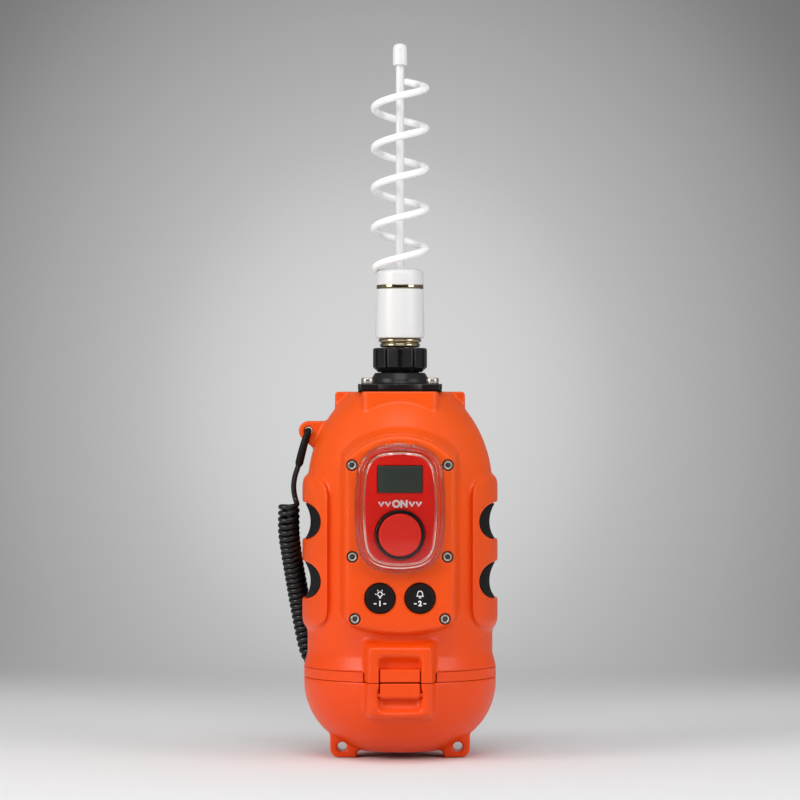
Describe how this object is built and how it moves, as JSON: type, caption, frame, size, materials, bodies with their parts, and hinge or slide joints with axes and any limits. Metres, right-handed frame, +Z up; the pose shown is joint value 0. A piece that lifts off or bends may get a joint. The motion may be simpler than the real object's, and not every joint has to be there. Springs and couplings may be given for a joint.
{
  "type": "emergency position beacon",
  "caption": "Floating distress beacon: round housing, panel under a hinged clear cover, latched battery case, helical plug-in antenna and coiled tether.",
  "frame": {"origin": "on the axis of the round body, in the plane that the two feet stand on", "axes": "+Z up along the antenna, the control panel faces -Y, +X to the right of someone who faces the panel"},
  "size_m": [0.1212, 0.1278, 0.3915],
  "materials": {
    "shell_orange": "moulded satin",
    "fascia_red": "satin",
    "button_red": "satin rubberised",
    "clear_plastic": "clear polished",
    "black_plastic": "satin",
    "black_rubber": "matt",
    "steel": "turned",
    "brass": "polished",
    "nickel_brass": "polished pale",
    "white_plastic": "satin",
    "display_glass": "dark glossy",
    "circuit_green": "solder mask",
    "cell_wrap": "shrink wrap"
  },
  "bodies": {
    "housing": {"main_housing": "shell_orange", "joint_band": "shell_orange", "bulkhead": "black_plastic", "power_contacts": "brass", "front_panel": "shell_orange", "panel_seal": "black_rubber", "panel_screws": "steel", "control_fascia": "fascia_red", "display_window": "display_glass", "display_module": "display_glass", "circuit_board": "circuit_green", "switch_block": "black_plastic", "buzzer": "black_plastic", "activate_ring": "black_plastic", "activate_spring": "steel", "cover_hinge": "clear_plastic", "cover_pin": "steel", "grip_left": "black_rubber", "grip_right": "black_rubber", "antenna_base": "black_plastic", "flange_seal": "black_rubber", "flange_screws": "steel", "antenna_socket": "brass", "latch_keeper": "shell_orange", "hinge_pin": "steel", "tether_sleeve": "black_rubber", "tether_lead": "black_rubber", "tether_coil": "black_rubber", "tether_tail": "black_rubber", "tether_crimp": "black_plastic"},
    "cover": {"clear_cover": "clear_plastic"},
    "activate": {"activate_button": "button_red"},
    "test": {"test_button": "black_rubber"},
    "mute": {"mute_button": "black_rubber"},
    "battery_case": {"bottom_case": "shell_orange", "case_seal": "black_rubber", "battery_tray": "black_plastic", "battery_cells": "cell_wrap", "battery_contacts": "brass", "latch_pin": "steel"},
    "latch": {"latch_lever": "shell_orange"},
    "antenna": {"antenna_plug": "brass", "antenna_collar": "nickel_brass", "antenna_sleeve": "white_plastic", "sleeve_ring": "nickel_brass", "antenna_cap": "white_plastic", "antenna_rod": "white_plastic", "antenna_helix": "white_plastic", "antenna_tip": "white_plastic"},
    "nut": {"coupling_nut": "black_plastic"}
  },
  "joints": [
    {"name": "cover_hinge_turn", "type": "hinge", "parent": "housing", "child": "cover", "pos_m": [0, -0.0588, 0.17095], "axis": [-1, 0, 0], "range_deg": [0, 90]},
    {"name": "activate_press", "type": "slide", "parent": "housing", "child": "activate", "axis": [0, 1, 0], "range_m": [0, 0.0025], "stiffness_N_per_m": 1500, "springref_m": -0.001, "deforming": ["activate_spring"]},
    {"name": "test_press", "type": "slide", "parent": "housing", "child": "test", "axis": [0, 1, 0], "range_m": [0, 0.0015], "stiffness_N_per_m": 1500, "springref_m": -0.0006},
    {"name": "mute_press", "type": "slide", "parent": "housing", "child": "mute", "axis": [0, 1, 0], "range_m": [0, 0.0015], "stiffness_N_per_m": 1500, "springref_m": -0.0006},
    {"name": "case_hinge_turn", "type": "hinge", "parent": "housing", "child": "battery_case", "pos_m": [0, 0.0584, 0.044], "axis": [1, 0, 0], "range_deg": [0, 95]},
    {"name": "latch_turn", "type": "hinge", "parent": "battery_case", "child": "latch", "pos_m": [0, -0.0559, 0.0377], "axis": [1, 0, 0], "range_deg": [0, 70]},
    {"name": "antenna_pull", "type": "slide", "parent": "housing", "child": "antenna", "axis": [0, 0, 1], "range_m": [0, 0.03]},
    {"name": "nut_spin", "type": "hinge", "parent": "antenna", "child": "nut", "pos_m": [0, 0, 0.2177], "axis": [0, 0, 1], "continuous": true}
  ]
}
